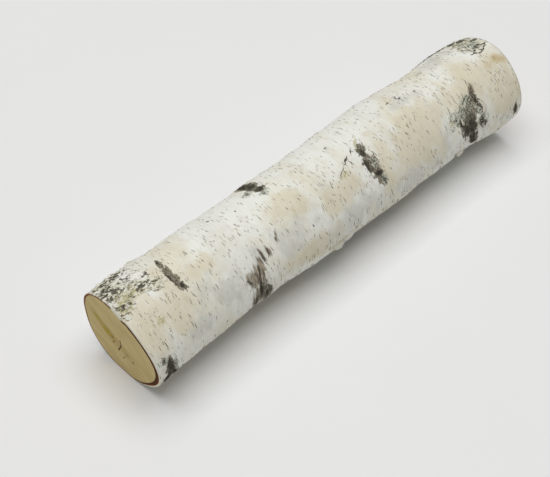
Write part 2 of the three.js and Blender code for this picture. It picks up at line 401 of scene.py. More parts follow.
class Nodes:
    """Adds nodes to one tree. An input is either a socket to link from or a value to set."""

    def __init__(self, tree, seed=0):
        self.tree = tree
        self.seed = seed

    def add(self, kind, inputs=(), **settings):
        node = self.tree.nodes.new(kind)
        for name, value in settings.items():
            setattr(node, name, value)
        for key, value in dict(inputs).items():
            self.feed(node.inputs[key], value)
        return node

    def result(self, kind, inputs=(), **settings):
        """The first output of a new node."""
        return self.add(kind, inputs, **settings).outputs[0]

    def feed(self, socket, value):
        if isinstance(value, bpy.types.NodeSocket):
            self.tree.links.new(value, socket)
        else:
            socket.default_value = value

    def math(self, operation, *values):
        return self.result("ShaderNodeMath", enumerate(values), operation=operation)

    def vector(self, operation, *values):
        return self.result("ShaderNodeVectorMath", enumerate(values), operation=operation)

    def dot(self, a, b):
        node = self.add("ShaderNodeVectorMath", {0: a, 1: b}, operation="DOT_PRODUCT")
        return node.outputs["Value"]

    def scaled(self, vector, factor):
        inputs = {0: vector, "Scale": factor}
        return self.result("ShaderNodeVectorMath", inputs, operation="SCALE")

    def times(self, *values):
        return reduce(partial(self.math, "MULTIPLY"), values)

    def plus(self, *values):
        return reduce(partial(self.math, "ADD"), values)

    def most(self, *values):
        return reduce(partial(self.math, "MAXIMUM"), values)

    def less(self, value):
        """What is left of 1."""
        return self.math("SUBTRACT", 1.0, value)

    def xyz(self, x, y, z):
        return self.result("ShaderNodeCombineXYZ", {0: x, 1: y, 2: z})

    def rise(self, value, low, high):
        """0 below low, 1 above high and smooth between."""
        inputs = {"Value": value, "From Min": low, "From Max": high}
        return self.result("ShaderNodeMapRange", inputs, interpolation_type="SMOOTHSTEP")

    def noise(self, place, stretch, detail=2.0, roughness=0.5, distortion=0.0, vector=False):
        """Noise from 0 to 1 over a place. stretch: waves for each metre along X, Y and Z."""
        inputs = {
            "Vector": self.vector("MULTIPLY", place, stretch),
            "Scale": 1.0,
            "Detail": detail,
            "Roughness": roughness,
            "Distortion": distortion,
        }
        return self.add("ShaderNodeTexNoise", inputs).outputs[1 if vector else 0]

    def swing(self, place, middle=0.5, **noise):
        """Noise that swings to both sides of nothing."""
        return self.plus(self.noise(place, **noise), -middle)

    def colour(self, factor, first, second):
        """A blend of two colours."""
        inputs = {MIX_FACTOR: factor, MIX_FIRST: first, MIX_SECOND: second}
        return self.add("ShaderNodeMix", inputs, data_type="RGBA").outputs[MIX_COLOUR]

    def graded(self, value, low, high, first, second):
        """One colour below low, another above high and a blend between."""
        return self.colour(self.rise(value, low, high), first, second)

    def layered(self, colour, *layers):
        """A colour with tones laid over it in turn, each as (tone, mask, strength)."""
        for tone, mask, strength in layers:
            colour = self.colour(self.times(mask, strength), colour, tone)
        return colour

    def place(self):
        """The place on the log, in a geometry tree or in a material."""
        if self.tree.bl_idname == "GeometryNodeTree":
            return self.result("GeometryNodeInputPosition")
        return self.add("ShaderNodeTexCoord").outputs["Object"]

    def kept(self, name, vector=False):
        """A value that the mesh keeps for each point or face."""
        if self.tree.bl_idname == "GeometryNodeTree":
            kind = "FLOAT_VECTOR" if vector else "FLOAT"
            node = self.add("GeometryNodeInputNamedAttribute", {"Name": name}, data_type=kind)
            return node.outputs["Attribute"]
        node = self.add("ShaderNodeAttribute", attribute_name=name)
        return node.outputs["Vector" if vector else "Fac"]

    def keep(self, geometry, name, value, domain="POINT"):
        """Stores a value on a geometry under a name."""
        inputs = {"Geometry": geometry, "Name": name, "Value": value}
        settings = dict(data_type="FLOAT", domain=domain)
        return self.result("GeometryNodeStoreNamedAttribute", inputs, **settings)

    def moved(self, geometry, **inputs):
        """A geometry with its points moved to a Position or by an Offset."""
        return self.result("GeometryNodeSetPosition", {"Geometry": geometry, **inputs})

    def random(self, low=0.0, high=1.0):
        """A random number for each copy. Each call takes the tree's next seed."""
        inputs = {RANDOM_LOW: low, RANDOM_HIGH: high, RANDOM_SEED: self.seed}
        self.seed += 1
        return self.add("FunctionNodeRandomValue", inputs).outputs[RANDOM_NUMBER]

    def scatter(self, skin, density, seed):
        """Points over the bark, clear of the underside, and the bark's normal at each."""
        bark = self.math("LESS_THAN", self.kept("is_end"), 0.5)
        height = self.dot(self.place(), (0, 0, 1))
        density = self.times(density, self.rise(height, *CLEAR_OF_FLOOR))
        inputs = {"Mesh": skin, "Selection": bark, "Density": density, "Seed": seed}
        node = self.add("GeometryNodeDistributePointsOnFaces", inputs)
        return node.outputs["Points"], node.outputs["Normal"]

    def facing(self, primary, first, secondary, second):
        """A rotation that turns one axis to a vector, and another as near as it can to a second one."""
        inputs = {"Primary Axis": first, "Secondary Axis": second}
        settings = dict(primary_axis=primary, secondary_axis=secondary)
        return self.result("FunctionNodeAxesToRotation", inputs, **settings)

    def turned(self, rotation, turn):
        """A rotation followed by a turn about its own axes."""
        by = self.result("FunctionNodeEulerToRotation", {0: turn})
        inputs = {"Rotation": rotation, "Rotate By": by}
        return self.result("FunctionNodeRotateRotation", inputs, rotation_space="LOCAL")

    def any_way(self, normal):
        """A rotation that stands on the bark and is turned about its normal at random."""
        upright = self.facing("Z", normal, "X", (1, 0, 0))
        return self.turned(upright, self.xyz(0.0, 0.0, self.random(-ANY_TURN, ANY_TURN)))

    def placed(self, points, shape, rotation, scale, tone):
        """A copy of a shape at each point, each with a tone of its own, made one mesh."""
        inputs = {"Points": points, "Instance": shape, "Rotation": rotation, "Scale": scale}
        copies = self.result("GeometryNodeInstanceOnPoints", inputs)
        copies = self.keep(copies, "tone", tone, "INSTANCE")
        return self.result("GeometryNodeRealizeInstances", {0: copies})

    def close(self, geometry, *materials, smooth=True):
        """Ends a geometry tree: shading, one real mesh, and materials with the faces that each is for."""
        inputs = {"Geometry": geometry, "Shade Smooth": smooth}
        shaded = self.result("GeometryNodeSetShadeSmooth", inputs)
        closed = self.result("GeometryNodeRealizeInstances", {0: shaded})
        for material, faces in materials:
            inputs = {"Geometry": closed, "Selection": faces, "Material": material}
            closed = self.result("GeometryNodeSetMaterial", inputs)
        self.add("NodeGroupOutput", {0: closed})


def geometry_tree(name, sizes, seed=0):
    """A Geometry Nodes tree with a geometry input and output and a named input for each size."""
    tree = bpy.data.node_groups.new(name, "GeometryNodeTree")
    tree.interface.new_socket("Geometry", in_out="INPUT", socket_type="NodeSocketGeometry")
    for key, value in sizes.items():
        kind = "NodeSocketInt" if isinstance(value, int) else "NodeSocketFloat"
        tree.interface.new_socket(key, in_out="INPUT", socket_type=kind)
    tree.interface.new_socket("Geometry", in_out="OUTPUT", socket_type="NodeSocketGeometry")
    nodes = Nodes(tree, seed)
    return nodes, nodes.add("NodeGroupInput").outputs


def linked(name, data):
    """A new object of the scene."""
    made = bpy.data.objects.new(name, data)
    bpy.context.scene.collection.objects.link(made)
    return made


def run_tree(name, mesh, nodes, sizes):
    """Runs a tree on a mesh and gives the result as a piece of the log with a plain mesh."""
    source = linked(name + "_source", mesh)
    modifier = source.modifiers.new(name, "NODES")
    modifier.node_group = nodes.tree
    for item in nodes.tree.interface.items_tree:
        if item.in_out == "INPUT" and item.name in sizes:
            modifier[item.identifier] = sizes[item.name]
    evaluated = source.evaluated_get(bpy.context.evaluated_depsgraph_get())
    result = bpy.data.meshes.new_from_object(evaluated)
    source.modifiers.remove(modifier)
    bpy.data.objects.remove(source)
    piece = linked(name, result)
    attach(piece, BODY)
    return piece


# Materials

def srgb(*channels):
    """A colour given as 0 to 255, as a picture shows it, made linear by the sRGB curve."""

    def linear(value):
        return value / 12.92 if value <= 0.04045 else ((value + 0.055) / 1.055) ** 2.4

    return (*(linear(channel / 255) for channel in channels), 1.0)


WHITE_BARK = srgb(240, 241, 233)
CREAM_BARK = srgb(231, 226, 206)
WARM_BARK = srgb(223, 214, 187)
GREY_BARK = srgb(212, 212, 203)
TAN_BARK = srgb(176, 161, 135)
STAIN_BARK = srgb(198, 178, 132)
FISSURE_PALE = srgb(174, 160, 136)
FISSURE_BROWN = srgb(90, 76, 56)
CRUST_BLACK = srgb(42, 40, 31)
CRUST_DARK = srgb(88, 82, 66)
CRUST_BROWN = srgb(94, 86, 69)
CRUST_GREY = srgb(152, 145, 126)
CORK_DARK = srgb(56, 50, 32)
CORK_GREY = srgb(152, 146, 118)
CORK_PALE = srgb(232, 230, 212)
FROST_GREY = srgb(146, 147, 131)
FROST_PALE = srgb(210, 214, 199)
LICHEN_OLIVE = srgb(172, 158, 84)
LICHEN_PALE = srgb(206, 205, 178)
PORE_DARK = srgb(72, 61, 51)
PORE_PALE = srgb(156, 140, 118)
SAPWOOD = srgb(217, 198, 144)
HEARTWOOD = srgb(204, 183, 127)
LATE_WOOD = srgb(181, 153, 96)
WOOD_OLIVE = srgb(176, 152, 34)
WOOD_BROWN = srgb(122, 90, 34)
INNER_BARK = srgb(128, 68, 26)
INNER_BARK_DARK = srgb(66, 34, 10)
FLOOR_DULL = (0.82, 0.82, 0.815, 1)
FLOOR_BRIGHT = (0.85, 0.85, 0.845, 1)

# Noise over the bark. stretch: waves for each metre along X, Y and Z.
CLOUDS = dict(stretch=(34, 20, 20), detail=5, roughness=0.6)
LAYERS = dict(stretch=(48, 20, 20), detail=5, roughness=0.62)
BANDS = dict(stretch=(820, 46, 46), detail=3, roughness=0.6)
MOTTLE = dict(stretch=(170, 100, 100), detail=5, roughness=0.68)
SCUFFS = dict(stretch=(240, 90, 90), detail=5, roughness=0.72)
DASHES = dict(stretch=(760, 170, 170), detail=3, roughness=0.6)
LICHEN_SPOTS = dict(stretch=(420, 420, 420), detail=3, roughness=0.7)
CORK_GRAIN = dict(stretch=(200, 420, 420), detail=5, roughness=0.62, distortion=1.2)
SCAR_GRAIN = dict(stretch=(520, 260, 260), detail=5, roughness=0.7, distortion=0.6)
FISSURE_GRAIN = dict(stretch=(420, 70, 70), detail=5, roughness=0.62, distortion=0.8)
SPECKLE_GRAIN = dict(stretch=(1500, 1500, 1500), detail=3, roughness=0.6)

# How each patch's edge is torn. Stretch: waves of the tear for each metre along X, Y and Z. Tear: how
# deep it goes. Start: the field's value where the patch begins. Softness: how much more makes it full.
TORN_EDGES = {
    "warm": dict(Stretch=(40, 26, 26), Tear=3.4, Start=-0.2, Softness=0.7),
    "grey": dict(Stretch=(60, 36, 36), Tear=3.4, Start=0.0, Softness=0.7),
    "stain": dict(Stretch=(110, 80, 80), Tear=2.4, Start=0.0, Softness=0.9),
    "fissure": dict(Stretch=(420, 100, 100), Tear=2.0, Start=0.0, Softness=0.5),
    "cork": dict(Stretch=(130, 130, 130), Tear=1.5, Start=0.12, Softness=0.3),
    "lichen": dict(Stretch=(360, 360, 360), Tear=3.2, Start=0.1, Softness=0.5),
    "scar": dict(Stretch=(300, 190, 190), Tear=2.3, Start=0.0, Softness=0.25),
    "frost": dict(Stretch=(260, 170, 170), Tear=2.6, Start=0.06, Softness=0.5),
    "fleck": dict(Stretch=(330, 420, 420), Tear=4.2, Start=0.4, Softness=0.3),
    "eye": dict(Stretch=(340, 220, 220), Tear=2.8, Start=0.05, Softness=0.5),
}


def new_material(name, kind=Nodes):
    """A material, a way to add nodes to it, and its shader."""
    material = bpy.data.materials.new(name)
    material.use_nodes = True
    return material, kind(material.node_tree), material.node_tree.nodes["Principled BSDF"]


def shader_group(name, inputs, outputs):
    """An empty shader node group with named sockets."""
    tree = bpy.data.node_groups.new(name, "ShaderNodeTree")
    for in_out, sockets in (("INPUT", inputs), ("OUTPUT", outputs)):
        for socket, kind in sockets.items():
            tree.interface.new_socket(socket, in_out=in_out, socket_type="NodeSocket" + kind)
    nodes = Nodes(tree)
    return nodes, nodes.add("NodeGroupInput").outputs


def ragged_group():
    """Turns a smooth field into a mask whose edge is torn by noise."""
    inputs = dict(Field="Float", Place="Vector", Stretch="Vector", Tear="Float")
    inputs.update(Start="Float", Softness="Float")
    nodes, given = shader_group("ragged_edge", inputs, dict(Mask="Float"))
    tear = nodes.swing(given["Place"], stretch=given["Stretch"], detail=5, roughness=0.62)
    torn = nodes.plus(given["Field"], nodes.times(tear, given["Tear"]))
    mask = nodes.rise(torn, given["Start"], nodes.plus(given["Start"], given["Softness"]))
    nodes.add("NodeGroupOutput", {"Mask": mask})
    return nodes.tree


def speckle_group():
    """A grain between two colours, from a tone of 0 to 1 and fine noise."""
    inputs = dict(Place="Vector", Tone="Float", Dark="Color", Light="Color")
    nodes, given = shader_group("speckle", inputs, dict(Color="Color", Height="Float"))
    grain = nodes.noise(given["Place"], **SPECKLE_GRAIN)
    mixed = nodes.plus(given["Tone"], nodes.times(nodes.plus(grain, -0.5), 0.9))
    colour = nodes.graded(mixed, 0.0, 1.0, given["Dark"], given["Light"])
    nodes.add("NodeGroupOutput", {"Color": colour, "Height": grain})
    return nodes.tree


def top_layer(nodes, place):
    """1 where the bark's top layer is still on and 0 where it has peeled off."""
    return nodes.rise(nodes.noise(place, **LAYERS), 0.52, 0.56)


def paper_group():
    """Papery birch bark: white, cream, warm and grey layers with fine bands round the log. On the log, the
    grey layer is partly painted shade low on the front flank.
    """
    inputs = dict(Place="Vector", Warm="Float", Grey="Float")
    nodes, given = shader_group("bark_paper", inputs, dict(Color="Color", Height="Float"))
    place = given["Place"]
    layers = top_layer(nodes, place)
    bands = nodes.noise(place, **BANDS)
    mottle = nodes.noise(place, **MOTTLE)
    scuffs = nodes.rise(nodes.noise(place, **SCUFFS), 0.54, 0.7)
    dashes = nodes.rise(nodes.noise(place, **DASHES), 0.6, 0.74)
    colour = nodes.layered(
        nodes.graded(nodes.noise(place, **CLOUDS), 0.4, 0.66, WHITE_BARK, CREAM_BARK),
        (WARM_BARK, given["Warm"], 0.8),
        # On the log, this grey is partly painted shade low on the front flank.
        (GREY_BARK, given["Grey"], 0.7),
        (TAN_BARK, layers, 0.08),
        (TAN_BARK, nodes.rise(mottle, 0.5, 0.72), 0.26),
        (TAN_BARK, nodes.rise(bands, 0.4, 0.75), 0.1),
        (WHITE_BARK, scuffs, 0.6),
        (TAN_BARK, dashes, 0.3),
    )
    height = nodes.plus(bands, nodes.times(layers, 0.8), nodes.times(scuffs, 0.8), mottle)
    nodes.add("NodeGroupOutput", {"Color": colour, "Height": height})
    return nodes.tree


RAGGED = ragged_group()
SPECKLE = speckle_group()
PAPER = paper_group()


def use_group(nodes, tree, **inputs):
    """Places a shader node group and feeds its inputs."""
    group = nodes.add("ShaderNodeGroup", node_tree=tree)
    for key, value in inputs.items():
        nodes.feed(group.inputs[key], value)
    return group.outputs


def bumped(nodes, shader, height, strength, distance):
    """Gives a shader the fine relief of a height."""
    inputs = {"Strength": strength, "Distance": distance, "Height": height}
    nodes.feed(shader.inputs["Normal"], nodes.result("ShaderNodeBump", inputs))


def bark_material():
    """The bark: paper, and over it stains, fissures, cork, lichen, scars, frost and dark flecks."""
    material, nodes, shader = new_material("birch_bark")
    place = nodes.place()
    patch = {
        name: use_group(nodes, RAGGED, Field=nodes.kept(name), Place=place, **edge)["Mask"]
        for name, edge in TORN_EDGES.items()
    }
    fissure_grain = nodes.noise(place, **FISSURE_GRAIN)
    cork_grain = nodes.noise(place, **CORK_GRAIN)
    scar_grain = nodes.noise(place, **SCAR_GRAIN)

    paper = use_group(nodes, PAPER, Place=place, Warm=patch["warm"], Grey=patch["grey"])
    spots = nodes.noise(place, **LICHEN_SPOTS)
    frost = nodes.graded(scar_grain, 0.36, 0.5, CRUST_BROWN, FROST_GREY)
    black = nodes.graded(scar_grain, 0.36, 0.64, CRUST_BLACK, CRUST_DARK)
    between_plates = nodes.less(nodes.rise(cork_grain, 0.37, 0.46))
    colour = nodes.layered(
        paper["Color"],
        (STAIN_BARK, patch["stain"], 0.8),
        (nodes.graded(fissure_grain, 0.42, 0.64, FISSURE_BROWN, FISSURE_PALE), patch["fissure"], 0.92),
        (nodes.graded(cork_grain, 0.44, 0.56, CORK_GREY, CORK_PALE), patch["cork"], 1.0),
        (nodes.graded(spots, 0.4, 0.62, LICHEN_OLIVE, LICHEN_PALE), patch["lichen"], 0.7),
        (CORK_DARK, patch["cork"], between_plates),
        # Past a turn of about 95 degrees, the low scars' dark is partly painted shade.
        (nodes.graded(scar_grain, 0.38, 0.62, CRUST_BROWN, CRUST_GREY), patch["scar"], 0.95),
        (nodes.graded(scar_grain, 0.46, 0.56, frost, FROST_PALE), patch["frost"], 0.85),
        (black, patch["fleck"], 0.9),
        (black, patch["eye"], 0.95),
    )
    nodes.feed(shader.inputs["Base Color"], colour)

    coarse = nodes.most(patch["scar"], patch["eye"], nodes.times(patch["cork"], 0.8))
    nodes.feed(shader.inputs["Roughness"], nodes.plus(nodes.times(coarse, 0.25), 0.62))
    height = nodes.plus(
        paper["Height"],
        nodes.times(patch["scar"], scar_grain, 6.0),
        nodes.times(patch["cork"], cork_grain, 6.0),
        nodes.times(patch["fissure"], fissure_grain, 4.0),
    )
    bumped(nodes, shader, height, strength=0.4, distance=0.25 * MM)
    return material


# The sawn face's own directions: along the saw's strokes and across them
STROKE = (0, 0.83, 0.56)
ACROSS = (0, -0.56, 0.83)
GRAIN_SHIFT = 9.0  # sets the top end's grain apart from the butt's
FADING = 0.6  # how much fainter the marks are on the top end
SAWN_SHEEN = 0.1  # specular level of the rough sawn wood
# Noise on the sawn face. stretch: waves for each metre along the strokes and across them.
STREAKS = dict(stretch=(22, 170, 1), detail=4, roughness=0.6)
WOOD_CLOUDS = dict(stretch=(26, 60, 1), detail=3, roughness=0.6)
FINE_STREAKS = dict(stretch=(120, 900, 1), detail=3, roughness=0.6)
BARK_WAVER = dict(stretch=(40, 40, 1), detail=3)
BARK_FLECKS = dict(stretch=(420, 420, 1), detail=3)
# Annual rings
RING_WIDTH = 2.6 * MM
RING_WAVER = 4 * MM
# Marks in the wood as ovals: stroke and across of the middle, then half-sizes, in mm
HEART = [(4, -6, 46, 13)]
OLIVE_MARKS = [(13, -8, 14, 8), (25, -6.5, 14, 4.5)]
BROWN_MARKS = [
    (6.5, -7, 2.2, 2.4), (3, -12, 1.2, 5), (-12, -6, 5, 1.8), (-19.5, -6, 2, 3), (-12, -15, 1, 5),
]
BARK_CHIP = (18, 36, 7, 9)
THICK_SIDE = (-0.6, 0.8)  # the way, by stroke and across, to where the inner bark is thickest
THICKENING = (-15 * MM, 36 * MM)  # where along that way it begins to thicken and ends
# The drying crack in the heart: the stroke that it crosses at 0 across, and how that changes for each
# metre across, with a kink; then how far it strays, its soft edge, and where it fades out at each end
SPLIT_STROKE = -3.1 * MM
SPLIT_SLOPE = 0.1
SPLIT_KINK = -4 * MM
KINK_SLOPE = 0.45
SPLIT_STRAY = 1.5 * MM
SPLIT_EDGE = (0.3 * MM, 0.9 * MM)
SPLIT_ENDS = ((-19 * MM, -13 * MM), (5 * MM, 2 * MM))


class SawnFace(Nodes):
    """The nodes of a sawn end's material, with the directions, grain and marks of the face."""

    def __init__(self, tree):
        super().__init__(tree)
        face = self.kept("from_pith", vector=True)
        self.rim = self.kept("rim")
        self.top_end = self.dot(face, (1, 0, 0))
        self.stroke = self.dot(face, STROKE)
        mirrored = self.plus(self.times(self.top_end, -2.0), 1.0)
        self.across = self.times(self.dot(face, ACROSS), mirrored)
        self.spot = self.xyz(self.stroke, self.across, self.times(self.top_end, GRAIN_SHIFT))
        self.streaks = self.noise(self.spot, **STREAKS)
        self.fine = self.noise(self.spot, **FINE_STREAKS)

    def oval(self, stroke, across, half_stroke, half_across):
        """1 in the middle of an oval on the sawn face, 0 at its edge and less outside."""
        u = self.times(self.plus(self.stroke, -stroke * MM), 1 / (half_stroke * MM))
        v = self.times(self.plus(self.across, -across * MM), 1 / (half_across * MM))
        away = self.add("ShaderNodeVectorMath", {0: self.xyz(u, v, 0.0)}, operation="LENGTH")
        return self.less(away.outputs["Value"])

    def mark(self, ovals, tear, softness):
        """A mask of several ovals whose edges follow the grain."""
        field = self.most(*(self.oval(*each) for each in ovals))
        torn = self.plus(field, self.times(self.plus(self.streaks, -0.5), tear))
        return self.rise(torn, 0.0, softness)

    def wood(self, split):
        """The wood's colour, with its heart, its annual rings, the marks in it and its drying crack."""
        clouds = self.noise(self.spot, **WOOD_CLOUDS)
        radius = self.plus(self.times(self.rim, log.radius), self.times(clouds, RING_WAVER))
        rings = self.math("SINE", self.times(radius, 2 * math.pi / RING_WIDTH))
        fading = self.less(self.times(self.top_end, FADING))
        olive = self.mark(OLIVE_MARKS, tear=1.0, softness=1.0)
        brown = self.times(self.mark(BROWN_MARKS, tear=1.6, softness=0.8), self.rise(self.fine, 0.2, 0.5))
        return self.layered(
            self.graded(clouds, 0.35, 0.65, SAPWOOD, HEARTWOOD),
            (LATE_WOOD, self.mark(HEART, tear=1.2, softness=0.9), 0.5),
            (LATE_WOOD, self.rise(self.streaks, 0.45, 0.7), 0.3),
            (LATE_WOOD, self.rise(rings, 0.2, 1.0), 0.14),
            (LATE_WOOD, self.fine, 0.18),
            (WOOD_OLIVE, self.times(olive, fading), 0.9),
            (WOOD_BROWN, self.times(brown, fading), 0.95),
            (INNER_BARK_DARK, split, 1.0),
        )

    def split(self):
        """A mask of the drying crack in the heart."""
        past_kink = self.most(self.plus(self.across, -SPLIT_KINK), 0.0)
        off_line = self.plus(
            self.stroke,
            -SPLIT_STROKE,
            self.times(self.across, -SPLIT_SLOPE),
            self.times(past_kink, -KINK_SLOPE),
            self.times(self.plus(self.streaks, -0.5), SPLIT_STRAY),
        )
        line = self.less(self.rise(self.math("ABSOLUTE", off_line), *SPLIT_EDGE))
        return self.times(line, *(self.rise(self.across, *end) for end in SPLIT_ENDS))

    def ringed(self, colour):
        """A colour with the red-brown inner bark and the pale outer bark round it."""
        by_stroke, by_across = THICK_SIDE
        lean = self.plus(self.times(self.across, by_across), self.times(self.stroke, by_stroke))
        waver = self.times(self.noise(self.spot, **BARK_WAVER), 0.05)
        thickness = self.plus(waver, self.times(self.rise(lean, *THICKENING), 0.08))
        chipped = self.times(self.rise(self.oval(*BARK_CHIP), 0.0, 0.3), self.less(self.top_end))
        inner = self.rise(self.plus(self.rim, thickness), 0.984, 0.996)
        outwards = self.times(self.rise(self.rim, 0.92, 1.0), 0.5)
        reddening = self.plus(self.noise(self.spot, **BARK_FLECKS), outwards, -0.3)
        tone = self.graded(reddening, 0.0, 0.8, INNER_BARK_DARK, INNER_BARK)
        colour = self.layered(colour, (tone, inner, self.less(chipped)))
        reach = self.plus(self.rim, self.times(thickness, 0.3), self.times(chipped, 0.05))
        return self.graded(reach, 0.997, 1.001, colour, CREAM_BARK)


def end_material():
    """Sawn wood with its drying crack, and the bark round it."""
    material, face, shader = new_material("sawn_end", SawnFace)
    shader.inputs["Specular IOR Level"].default_value = SAWN_SHEEN
    split = face.split()
    face.feed(shader.inputs["Base Color"], face.ringed(face.wood(split)))
    face.feed(shader.inputs["Roughness"], face.plus(face.times(face.fine, 0.2), 0.6))
    height = face.plus(face.fine, face.times(face.streaks, 1.5), face.times(split, -3.0))
    bumped(face, shader, height, strength=0.3, distance=0.2 * MM)
    return material


def grain_material(name, dark, light, roughness):
    """A crumbly finish between two colours that follows each grain's own tone."""
    material, nodes, shader = new_material(name)
    shader.inputs["Roughness"].default_value = roughness
    tone = nodes.kept("tone")
    speckle = use_group(nodes, SPECKLE, Place=nodes.place(), Tone=tone, Dark=dark, Light=light)
    nodes.feed(shader.inputs["Base Color"], speckle["Color"])
    bumped(nodes, shader, speckle["Height"], strength=0.4, distance=0.15 * MM)
    return material


def flake_material():
    """Peeled bark: papery white outside and tan inside."""
    material, nodes, shader = new_material("loose_bark")
    shader.inputs["Roughness"].default_value = 0.65
    place, tone = nodes.place(), nodes.kept("tone")
    greyness = nodes.noise(place, stretch=(90, 90, 90))
    paper = use_group(nodes, PAPER, Place=place, Warm=tone, Grey=greyness)
    inside = use_group(nodes, SPECKLE, Place=place, Tone=tone, Dark=FISSURE_BROWN, Light=STAIN_BARK)
    colour = nodes.colour(nodes.kept("inner"), paper["Color"], inside["Color"])
    nodes.feed(shader.inputs["Base Color"], colour)
    bumped(nodes, shader, paper["Height"], strength=0.3, distance=0.2 * MM)
    return material


# The bark's relief

RELIEF = {
    "Paper Height": 0.18 * MM,
    "Peel Step": 0.25 * MM,
    "Scar Height": 1.6 * MM,
    "Fissure Height": 1.3 * MM,
    "Cork Height": 2.2 * MM,
}
PAPER_SWELL = dict(stretch=(130, 38, 38), detail=3)
# The patches that are raised: the size, the field, where it begins and is full, the grain and its middle
ROUGH_PATCHES = (
    ("Scar Height", "scar", (-0.1, 0.4), SCAR_GRAIN, 0.52),
    ("Fissure Height", "fissure", (0.0, 0.5), FISSURE_GRAIN, 0.52),
    ("Cork Height", "cork", (0.0, 0.4), CORK_GRAIN, 0.48),
)
FAR_OFF = -10.0  # metres: below any X or Y of the log, so that only its heights are limited


def relief_tree():
    """Raises the bark's paper, peeled layers, scar crust, fissures and cork."""
    nodes, given = geometry_tree("bark_relief", RELIEF)
    place = nodes.place()
    height = nodes.plus(
        nodes.times(nodes.swing(place, **PAPER_SWELL), given["Paper Height"]),
        nodes.times(top_layer(nodes, place), given["Peel Step"]),
    )
    for size, field, begins_and_full, grain, middle in ROUGH_PATCHES:
        patch = nodes.rise(nodes.kept(field), *begins_and_full)
        height = nodes.plus(height, nodes.times(patch, nodes.swing(place, middle, **grain), given[size]))
    raised = nodes.vector("ADD", place, nodes.scaled(nodes.kept("outward", vector=True), height))
    clear = nodes.vector("MAXIMUM", raised, (FAR_OFF, FAR_OFF, 0))
    skin = nodes.moved(given["Geometry"], Position=clear)
    end = nodes.math("GREATER_THAN", nodes.kept("is_end"), 0.5)
    nodes.close(skin, (bark_material(), True), (end_material(), end), smooth=nodes.less(end))
    return nodes


skin = run_tree("log_skin", skin_mesh(), relief_tree(), RELIEF)
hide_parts(NODE)


# Pores, crust, frost and lichen on the bark

PORES = {
    "Density": 34000.0,
    "Shortest": 0.7 * MM,
    "Longest": 2.9 * MM,
    "Thinnest": 0.15 * MM,
    "Thickest": 0.29 * MM,
    "Height": 0.22 * MM,
    "Seed": 3,
}
PORE_SEED = 31  # the first seed of the slants, sizes and tones
PORE_ROWS = dict(stretch=(9, 115, 115))
PORE_CLUMPS = dict(stretch=(30, 22, 22))
PORE_SLANT = 0.28  # radians to either side of the way round the log
SHORT_BIAS = 1.6  # the power that makes most pores short
PORE_SHAPE = {"Segments": 6, "Rings": 4, "Radius": 1.0}


def pores_tree(material):
    """Short raised pores that run round the log, in loose rows along it. Sizes are halves."""
    nodes, given = geometry_tree("bark_pores", PORES, PORE_SEED)
    place = nodes.place()
    rows = nodes.rise(nodes.noise(place, **PORE_ROWS), 0.22, 0.62)
    clumps = nodes.rise(nodes.noise(place, **PORE_CLUMPS), 0.2, 0.5)
    coarse = nodes.most(nodes.kept("scar"), nodes.kept("cork"), nodes.kept("fissure"))
    clean = nodes.less(nodes.rise(coarse, -0.1, 0.2))
    density = nodes.times(given["Density"], rows, clumps, clean)
    points, normal = nodes.scatter(given["Geometry"], density, given["Seed"])
    pore = nodes.result("GeometryNodeMeshUVSphere", PORE_SHAPE)
    round_log = nodes.vector("NORMALIZE", nodes.vector("CROSS_PRODUCT", normal, (1, 0, 0)))
    rotation = nodes.facing("Z", round_log, "X", normal)
    rotation = nodes.turned(rotation, nodes.xyz(nodes.random(-PORE_SLANT, PORE_SLANT), 0.0, 0.0))
    mostly_short = nodes.math("POWER", nodes.random(), SHORT_BIAS)
    spread = nodes.math("SUBTRACT", given["Longest"], given["Shortest"])
    length = nodes.plus(given["Shortest"], nodes.times(mostly_short, spread))
    width = nodes.random(given["Thinnest"], given["Thickest"])
    scale = nodes.xyz(given["Height"], width, length)
    pores = nodes.placed(points, pore, rotation, scale, nodes.random())
    nodes.close(pores, (material, True))
    return nodes


GRAIN_SEED = 41  # the first seed of the turns, sizes and tones
GRAIN_TEAR = dict(stretch=(300, 190, 190), detail=5, roughness=0.62)
GRAIN_SHAPE = {"Radius": 1.0, "Subdivisions": 1}
IN_EYE = (-0.2, 0.3)  # values of the eye field between which the grains darken
GRAIN_SIZES = {"Smallest": 0.2 * MM, "Largest": 0.6 * MM, "Flatness": 0.7}
CRUST = {"Density": 9e5, "Start": 0.0, "Full": 0.5, "Tear": 2.6, "Shade": 0.8, "Seed": 5}
FROST_GRAINS = {"Density": 3e5, "Start": 0.0, "Full": 0.9, "Tear": 3.0, "Shade": 0.0, "Seed": 6}
LICHEN_GRAINS = {"Density": 3e5, "Start": 0.4, "Full": 1.0, "Tear": 4.0, "Shade": 0.0, "Seed": 7}


def grains_tree(name, sizes, field, material):
    """Rough grains that crowd where a kept field is high. Sizes are halves."""
    nodes, given = geometry_tree(name, sizes, GRAIN_SEED)
    tear = nodes.times(nodes.swing(nodes.place(), **GRAIN_TEAR), given["Tear"])
    torn = nodes.rise(nodes.plus(nodes.kept(field), tear), given["Start"], given["Full"])
    density = nodes.times(given["Density"], torn)
    points, normal = nodes.scatter(given["Geometry"], density, given["Seed"])
    grain = nodes.result("GeometryNodeMeshIcoSphere", GRAIN_SHAPE)
    rotation = nodes.any_way(normal)
    length, width = (nodes.random(given["Smallest"], given["Largest"]) for _ in range(2))
    scale = nodes.xyz(length, width, nodes.times(length, given["Flatness"]))
    depth = nodes.times(nodes.rise(nodes.kept("eye"), *IN_EYE), given["Shade"])
    tone = nodes.times(nodes.random(), nodes.less(depth))
    nodes.close(nodes.placed(points, grain, rotation, scale, tone), (material, True))
    return nodes


# Loose flakes of bark

SHEET_THICKNESS = 0.09  # of the lift at its free edge
SHEET_NARROWING = 0.9  # how much of its width a sheet loses towards its free edge
SHEET_CURL = 1.6  # the power of the reach that a sheet rises by
CRUMPLES = dict(stretch=(330, 330, 330))


